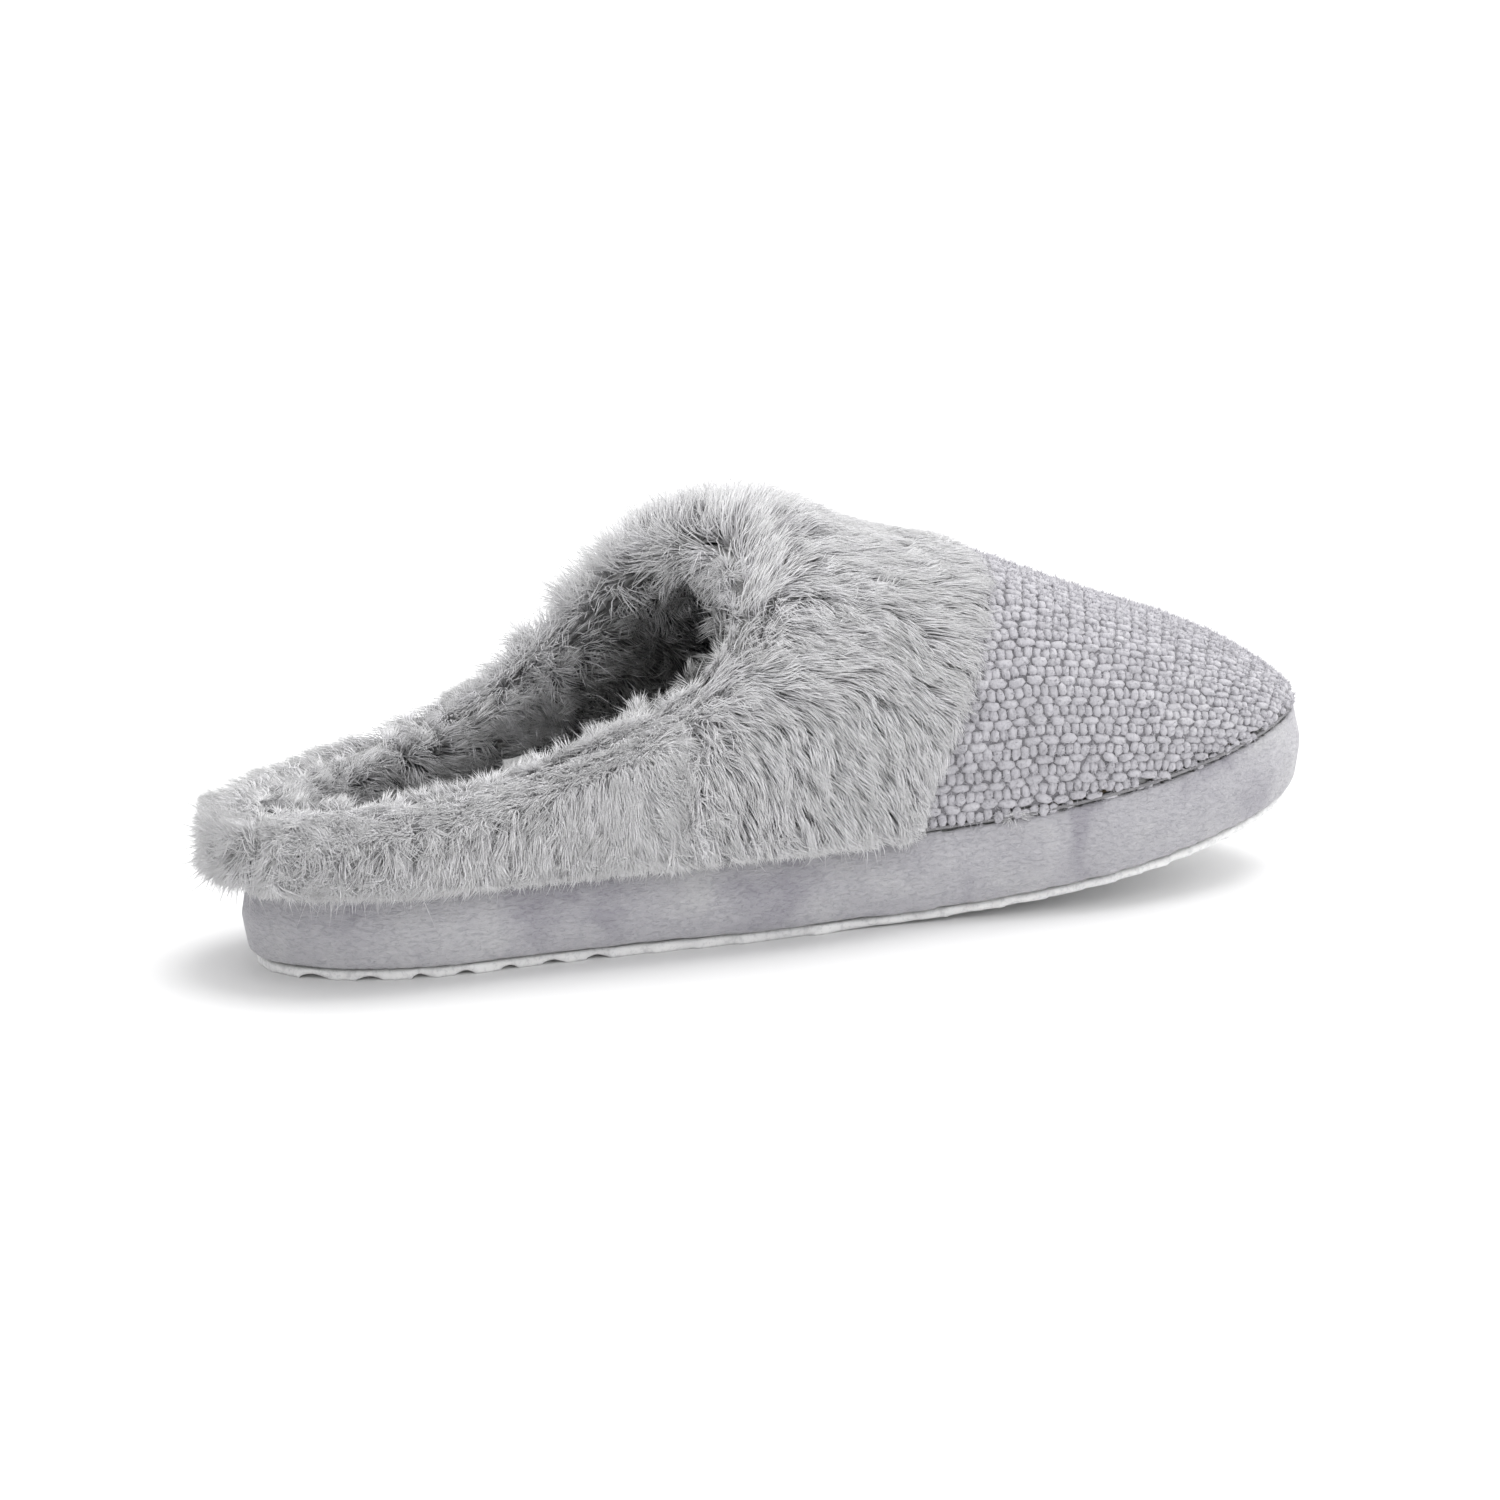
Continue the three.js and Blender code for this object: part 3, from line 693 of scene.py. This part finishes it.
    def rimComb(points, normals):
        n = len(points)
        outward = np.where(np.random.default_rng(7).random(n) < 0.6, 1.1, -0.8)
        return np.stack([-0.15 * np.ones(n), outward * np.sign(points[:, 1]), -0.2 * np.ones(n)], 1)
    for k, source in enumerate(("collar_foam_medial", "collar_foam_lateral", "vamp_foam")):
        base, ground = furGround("rimFoam_" + source, source, 0.0, collarLook, 1.9 * mm)

        def topOnly(points):
            return (points[:, 2] > coverTop(points[:, 0]) + 8 * mm).astype(float)
        settings = dict(outerFur, seed=41 + k, proud=standing, over=rimOver, count=5200, length=5.8 * mm,
                        grow=growing, lockTurn=0.5, stray=0.5, hang=0.0, segments=2)
        piece = furHair("rimPile_" + source, ground, settings, rimComb, furLook, topOnly)
        finishPiece(base, "soft_foam", source)
        finishPiece(piece, "faux_fur", source)
    print("rim fur grown")

    def flat(points, normals):
        return 1.4 * mm * np.ones(len(points))
    for k, source in enumerate(("collar_fur_lining_medial", "collar_fur_lining_lateral", "cuff_fur_lining")):
        base, ground = furGround("backing_" + source, source, 0.6, liningUnder)
        finishPiece(base, "lining_fur", source)
        edge = edgeAlong(ground["co"])

        # Painted shade: the lining hair's tone is lightest in the roll at the rim and darker the deeper it lies below
        # the rim.
        def paintedShade(points, edge=edge):  # lightest in the roll at the rim
            below = np.interp(points[:, 0], *edge) - points[:, 2]
            return np.interp(below, [0, 5 * mm, 12 * mm, 26 * mm], [0.15, 0.05, -0.16, -0.46])

        share = 0.4 if source.startswith("cuff") else 1.0

        def lowOver(tips, edge=edge, share=share):
            return (2.0 + 1.4 * rimShare(tips, edge)) * share * mm

        def rolled(points, normals, edge=edge):
            rim = rimShare(points, edge)
            inward = np.stack([np.zeros(len(points)), -0.6 * np.sign(points[:, 1]), 0.3 * rim], 1)
            return mixFields([liningComb(points, normals), inward], [1 - rim, rim])
        settings = dict(liningFur, seed=51 + k, proud=flat, over=lowOver, paintedShade=paintedShade)
        # Past deepX the cuff lining gets the near-black painted-shade hair.
        for word, look in (("", liningLook), ("Deep", paintedShadeLook)):
            def within(points, deep=bool(word)):
                return ((points[:, 0] > deepX) == deep).astype(float)
            if word and not source.startswith("cuff"):
                continue
            settings["count"] = 3000 if word else 6600
            piece = furHair("pile" + word + "_" + source, ground, settings, rolled, look,
                            within if source.startswith("cuff") else None)
            finishPiece(piece, "lining_fur", source)
    print("lining fur grown")


knit = {"columnPitch": 2.2 * mm, "rowPitch": 2.3 * mm, "closing": 0.35, "lift": 1.2 * mm,
        "wide": (4.5 * mm, 2.5 * mm, 2.1 * mm), "narrow": (2.3 * mm, 3.3 * mm, 1.9 * mm), "seed": 5}


# One puffed stitch, a flattened ball with a dent across it where the yarn doubles.
def stitchShape():
    shape = bmesh.new()
    bmesh.ops.create_uvsphere(shape, u_segments=7, v_segments=5, radius=1)
    for v in shape.verts:
        x, y, z = v.co
        v.co.x = math.copysign(abs(x) ** 0.85, x)
        v.co.y = math.copysign(abs(y) ** 0.85, y)
        if z > 0:
            v.co.z *= 1 - 0.22 * math.exp(-(x / 0.3) ** 2)
        else:
            v.co.z *= 0.6
    bmesh.ops.recalc_face_normals(shape, faces=shape.faces)
    mesh = bpy.data.meshes.new("stitchShape")
    shape.to_mesh(mesh)
    shape.free()
    return mesh


# Lines of the knit: sections across the vamp, measured round from its crest.
def vampSections(tree, points, start):
    front = points[:, 0].max()
    middle = []
    for x in np.arange(start, front, 2 * mm):
        near = points[np.abs(points[:, 0] - x) < 3 * mm]
        middle.append((x, (near[:, 1].min() + near[:, 1].max()) / 2) if len(near) else (x, middle[-1][1]))
    middle = np.array(middle)
    smoothMiddle = np.polyfit(middle[:, 0], middle[:, 1], 3)
    sections, x = [], start
    while x < front - 0.6 * mm:
        y0 = np.polyval(smoothMiddle, x)
        line = {}
        for side in (-1, 1):
            trace = []
            for turn in np.linspace(0, 105, 106):
                a = math.radians(turn)
                way = Vector((0, side * math.sin(a), math.cos(a)))
                centre = Vector((x, y0, coverTop(x) + 1 * mm))
                hit = tree.ray_cast(centre + way * 0.09, -way, 0.09)
                if hit[0] is None:
                    continue
                trace.append(np.array([*hit[0], *hit[1]]))
                if turn > 60 and hit[0].z < coverTop(x) + 0.8 * mm:
                    break
            line[side] = np.array(trace)
        if min(len(line[-1]), len(line[1])) > 6:
            sections.append((x, line))
        slope = 0.0
        if len(sections) > 1:
            a, b = sections[-2][1][1][0], sections[-1][1][1][0]
            slope = abs(b[2] - a[2]) / max(b[0] - a[0], 1e-6)
        x += knit["columnPitch"] / math.hypot(1, min(slope, 2.5))
    return sections


# Where the rows close up round the toe, single stitches fill the places they leave.
def gapStitches(ground, stitches, rng):
    points, normals, depth = scatter(ground, 9000, rng)
    points = points + normals * (depth - 0.5 * mm)[:, None]
    taken = [part[0] for part in stitches]
    grid = {}
    for p in taken:
        grid.setdefault(tuple(np.floor(p / (3 * mm)).astype(int)), []).append(p)
    added = []
    for p, n in zip(points, normals):
        cell = np.floor(p / (3 * mm)).astype(int)
        close = [q for i in (-1, 0, 1) for j in (-1, 0, 1) for k in (-1, 0, 1)
                 for q in grid.get((cell[0] + i, cell[1] + j, cell[2] + k), ())]
        if close and np.linalg.norm(np.array(close) - p, axis=1).min() < 2.45 * mm:
            continue
        grid.setdefault(tuple(cell), []).append(p)
        e1 = unit(np.cross(n, (0.1, 0.2, 1.0)))
        added.append((p, e1, np.cross(n, e1), n, np.array([1.35, 1.6, 1.0]) * mm * rng.uniform(0.9, 1.1, 3)))
    print("gap stitches:", len(added))
    return added


def makeKnit():
    look = napMaterial("chenilleYarn", (grey(0.50, 1.8), grey(0.57, 1.8), grey(0.64, 1.4)), 160, 1500, 0.8, 0.85,
                       0.45, 0.0006)
    # The knit's ground is much darker than the yarn: painted shade in the hollows between the stitches.
    underLook = napMaterial("knitGroundPaintedShade", (grey(0.20, 2), grey(0.23, 2), grey(0.27, 2)), 160, 1200, 0.5, 0.95, 0.1)
    base, ground = furGround("knitGroundPaintedShade", "knit_vamp", 0.5, underLook, 1.3 * mm)
    last = rounded("lastShape", ["vamp_foam"], 1.2 * mm, 6)  # the knit follows the foam it is drawn over
    co, normals, tris = surfaceOf(last)
    tree = BVHTree.FromPolygons(co.tolist(), tris.tolist())
    vamp = treeOf("knit_vamp")
    sections = vampSections(tree, co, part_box("knit_vamp")[0].x)
    bpy.data.objects.remove(last)
    rng = np.random.default_rng(knit["seed"])
    full = max(np.linalg.norm(np.diff(sections[0][1][1][:, :3], axis=0), axis=1).sum(), 0.03)
    grid, facing = {}, {}
    for i, (x, line) in enumerate(sections):
        for side in (-1, 1):
            trace = line[side]
            lengths = np.r_[0, np.cumsum(np.linalg.norm(np.diff(trace[:, :3], axis=0), axis=1))]
            pitch = knit["rowPitch"] * (knit["closing"] + (1 - knit["closing"]) * min(lengths[-1] / full, 1))
            last = int((lengths[-1] + 0.4 * pitch) / pitch)
            for j in range(0 if side > 0 else 1, last + 1):
                at = [np.interp(j * pitch, lengths, trace[:, k]) for k in range(6)]
                grid[i, j * side] = np.array(at[:3])
                facing[i, j * side] = unit(np.array(at[3:]))
    stitches = []
    for (i, j), p in grid.items():
        wideRow = j % 2 == 0
        if wideRow and (i + j // 2) % 2:
            continue
        before, after = grid.get((i - 1, j)), grid.get((i + 1, j))
        up, down = grid.get((i, j + 1)), grid.get((i, j - 1))
        along = (after if after is not None else p) - (before if before is not None else p)
        across = (up if up is not None else p) - (down if down is not None else p)
        steps = (after is not None) + (before is not None), (up is not None) + (down is not None)
        if 0 in steps:
            continue
        stretch = (np.linalg.norm(along) / steps[0] / knit["columnPitch"],
                   np.linalg.norm(across) / steps[1] / knit["rowPitch"])
        size = knit["wide"] if wideRow else knit["narrow"]
        n = facing[i, j]
        if vamp.find_nearest(Vector(p + n * 1.0 * mm))[3] > 1.3 * mm:
            continue
        e1 = unit(along - n * (along @ n))
        e2 = np.cross(n, e1)
        turn = rng.normal(0, 0.10)
        e1, e2 = e1 * math.cos(turn) + e2 * math.sin(turn), e2 * math.cos(turn) - e1 * math.sin(turn)
        scale = np.array([size[0] * min(stretch[0], 1.3), size[1] * min(max(stretch[1], 0.62), 1.3), size[2]]) / 2
        scale = scale * rng.uniform(0.93, 1.08, 3)
        place = p + n * (knit["lift"] + rng.uniform(-0.2, 0.2) * mm) + (e1 * rng.normal(0, 0.1)
                                                                        + e2 * rng.normal(0, 0.08)) * mm
        stitches.append((place, e1, e2, n, scale))
    stitches += gapStitches(ground, stitches, rng)
    stitches = [np.array(part) for part in zip(*stitches)]

    def places(co):
        origin, e1, e2, n, scale = stitches
        wobble = 1 + 0.11 * rng.standard_normal((len(origin), len(co), 1))
        body = (co[None, :, 0, None] * (e1 * scale[:, :1])[:, None] + co[None, :, 1, None] *
                (e2 * scale[:, 1:2])[:, None] + co[None, :, 2, None] * (n * scale[:, 2:])[:, None])
        return origin[:, None] + body * wobble

    pattern = stitchShape()
    piece = plant("knitStitches", pattern, len(stitches[0]), places, None, look)
    finishPiece(base, "chenille_knit", "knit_vamp")
    finishPiece(piece, "chenille_knit", "knit_vamp")
    print("knit laid:", len(stitches[0]), "stitches")

    count = 16000
    which = rng.integers(0, len(stitches[0]), count)
    origin, e1, e2, n, scale = (part[which] for part in stitches)
    aim = rng.normal(0, 1, (count, 3))
    aim[:, 2] = np.abs(aim[:, 2]) + 0.25
    aim = unit(aim)
    start = origin + sum(aim[:, k:k + 1] * scale[:, k:k + 1] * e for k, e in enumerate((e1, e2, n))) * 0.85
    out = unit(sum(aim[:, k:k + 1] * e for k, e in enumerate((e1, e2, n))) + rng.normal(0, 0.45, (count, 3)))
    length = rng.uniform(0.8, 1.9, (count, 1)) * mm
    fuzz = growHairs("knitFuzz", 1, start, start + out * length * 0.6, start + out * length
                     + rng.normal(0, 0.2 * mm, (count, 3)), np.full(count, 0.10 * mm),
                     rng.uniform(0.2, 1, count), furMaterial("knitFuzz", 0.50, 0.56, 0.62, 0.15, 0.3, 2.0))
    finishPiece(fuzz, "chenille_knit", "knit_vamp")


sole = {"voxel": 1.2 * mm, "skin": 0.9 * mm, "treadVoxel": 1.15 * mm}


def makeSole():
    velour = velourMaterial("velourNap", grey(0.36, 2.8), grey(0.46, 1.6), grey(0.52, 0.8))
    cover = rounded("velourCover", ["sole_cover", "platform_foam"], sole["voxel"], 5)
    skin = treeOf("sole_cover")
    shape = bmesh.new()
    shape.from_mesh(cover.data)
    away = []
    for face in shape.faces:
        near = skin.find_nearest(face.calc_center_median())
        if near[3] > 0.9 * mm or abs(face.normal.z) > 0.93:
            away.append(face)
    bmesh.ops.delete(shape, geom=away, context="FACES")
    for v in shape.verts:
        ripple = noise.noise(v.co * 55) * 0.35 + noise.noise(v.co * 160) * 0.12
        v.co += v.normal * ripple * mm
    shape.to_mesh(cover.data)
    shape.free()
    wall = cover.modifiers.new("wall", "SOLIDIFY")
    wall.thickness, wall.offset = sole["skin"], -1
    settle(cover)
    cover.data.materials.clear()
    cover.data.materials.append(velour)
    finishPiece(cover, "velour", "sole_cover")

    rubber = napMaterial("soleRubber", ((0.76, 0.76, 0.77), (0.82, 0.82, 0.82), (0.86, 0.86, 0.86)), 60, 700, 0.15,
                         0.5, 0.0, 0.0002)
    tread = rounded("outsoleTread", ["outsole"], sole["treadVoxel"], 2)
    tread.data.materials.clear()
    tread.data.materials.append(rubber)
    finishPiece(tread, "outsole_rubber", "outsole")
    print("sole covered")


footbed = {"voxel": 2.0 * mm, "pressure": 1.5, "rise": 1.3 * mm}


def puff(piece, pressure, most):
    rest = read(piece.data.vertices, "co", 3)
    cloth = piece.modifiers.new("cloth", "CLOTH")
    cloth.settings.use_pressure = True
    cloth.settings.uniform_pressure_force = pressure
    cloth.settings.effector_weights.gravity = 0
    cloth.settings.tension_stiffness = cloth.settings.compression_stiffness = 8
    cloth.point_cache.frame_end = 20
    for step in range(1, 21):
        scene.frame_set(step)
    settle(piece)
    moved = read(piece.data.vertices, "co", 3) - rest
    far = np.linalg.norm(moved, axis=1, keepdims=True)
    kept = rest + moved * np.minimum(1, most / np.maximum(far, 1e-9))
    piece.data.vertices.foreach_set("co", kept.ravel())
    piece.data.update()
    scene.frame_set(1)


def makeFootbed():
    look = furMaterial("sockHair", 0.42, 0.58, 0.68, 0.24, 0.15, 0.6)
    under = napMaterial("sockGround", (grey(0.26), grey(0.32), grey(0.38)), 80, 800, 0.6, 0.95, 0.1)
    pad = rounded("sockPad", ["sock_lining"], footbed["voxel"], 2)
    puff(pad, footbed["pressure"], footbed["rise"])
    pad.data.materials.clear()
    pad.data.materials.append(under)
    finishPiece(pad, "lining_fur", "sock_lining")
    co, normals, tris = surfaceOf(pad)
    ground = {"co": co, "normals": normals, "tris": tris, "bare": normals[:, 2] > 0.5,
              "depth": np.full(len(co), 3.0 * mm)}

    def none(points, normals):
        return np.zeros(len(points))

    def over(tips):
        return 4.0 * mm * np.ones(len(tips))
    settings = dict(liningFur, seed=71, proud=none, over=over, length=5.5 * mm, count=4500, lockTurn=0.6)
    finishPiece(furHair("sockPile", ground, settings, sockComb, look), "lining_fur", "sock_lining")
    print("footbed laid")


labelShare = 0.72


def makeInnerLayers():
    foam = napMaterial("softFoam", (grey(0.62), grey(0.70), grey(0.76)), 120, 1600, 0.5, 0.95, 0.0)
    board = napMaterial("fibreBoard", ((0.30, 0.24, 0.17), (0.36, 0.29, 0.21), (0.41, 0.34, 0.25)), 150, 900, 0.4,
                        0.9, 0.0)
    # The toe lining is near-black: painted shade for the inside of the toe box.
    cloth = napMaterial("toeClothPaintedShade", (grey(0.10), grey(0.13), grey(0.16)), 120, 1400, 0.5, 0.95, 0.1)
    stitch = napMaterial("seamThread", (grey(0.20, 1), grey(0.25, 1), grey(0.30, 1)), 500, 2600, 0.6, 0.7, 0.2)
    tape = napMaterial("labelTape", ((0.92, 0.92, 0.92), (0.95, 0.95, 0.95), (0.96, 0.96, 0.96)), 200, 2400, 0.3, 0.5,
                       0.2)
    low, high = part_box("size_label")
    label = solidCopy("labelTape", "size_label")
    shape = bmesh.new()
    shape.from_mesh(label.data)
    bmesh.ops.subdivide_edges(shape, edges=shape.edges, cuts=5, use_grid_fill=True)
    for v in shape.verts:
        up = (v.co.z - low.z) / (high.z - low.z)
        v.co.x = (low.x + high.x) / 2 + (v.co.x - (low.x + high.x) / 2) * 0.8
        v.co.z = low.z + (v.co.z - low.z) * labelShare + 0.2 * mm * math.sin(v.co.x * 500)
        v.co.y += 0.7 * mm * up * up
    shape.to_mesh(label.data)
    shape.free()
    label.data.materials.append(tape)
    finishPiece(label, "label_tape", "size_label")
    soft = {"platform_foam": foam, "footbed_foam": foam, "insole_board": board, "toe_lining": cloth,
            "platform_seam_thread": stitch, "cuff_seam_thread": stitch, "heel_seam_thread": stitch,
            "side_seam_thread_medial": stitch, "side_seam_thread_lateral": stitch}
    for source, material in soft.items():
        node = nodes[source]
        if not node.material_slots:
            node.data.materials.append(material)
        node.material_slots[0].link = "OBJECT"
        node.material_slots[0].material = material
    print("inner layers dressed")


makeCamera()
makeStudio()
makeSole()
makeInnerLayers()
makeKnit()
makeFootbed()
makeFur()
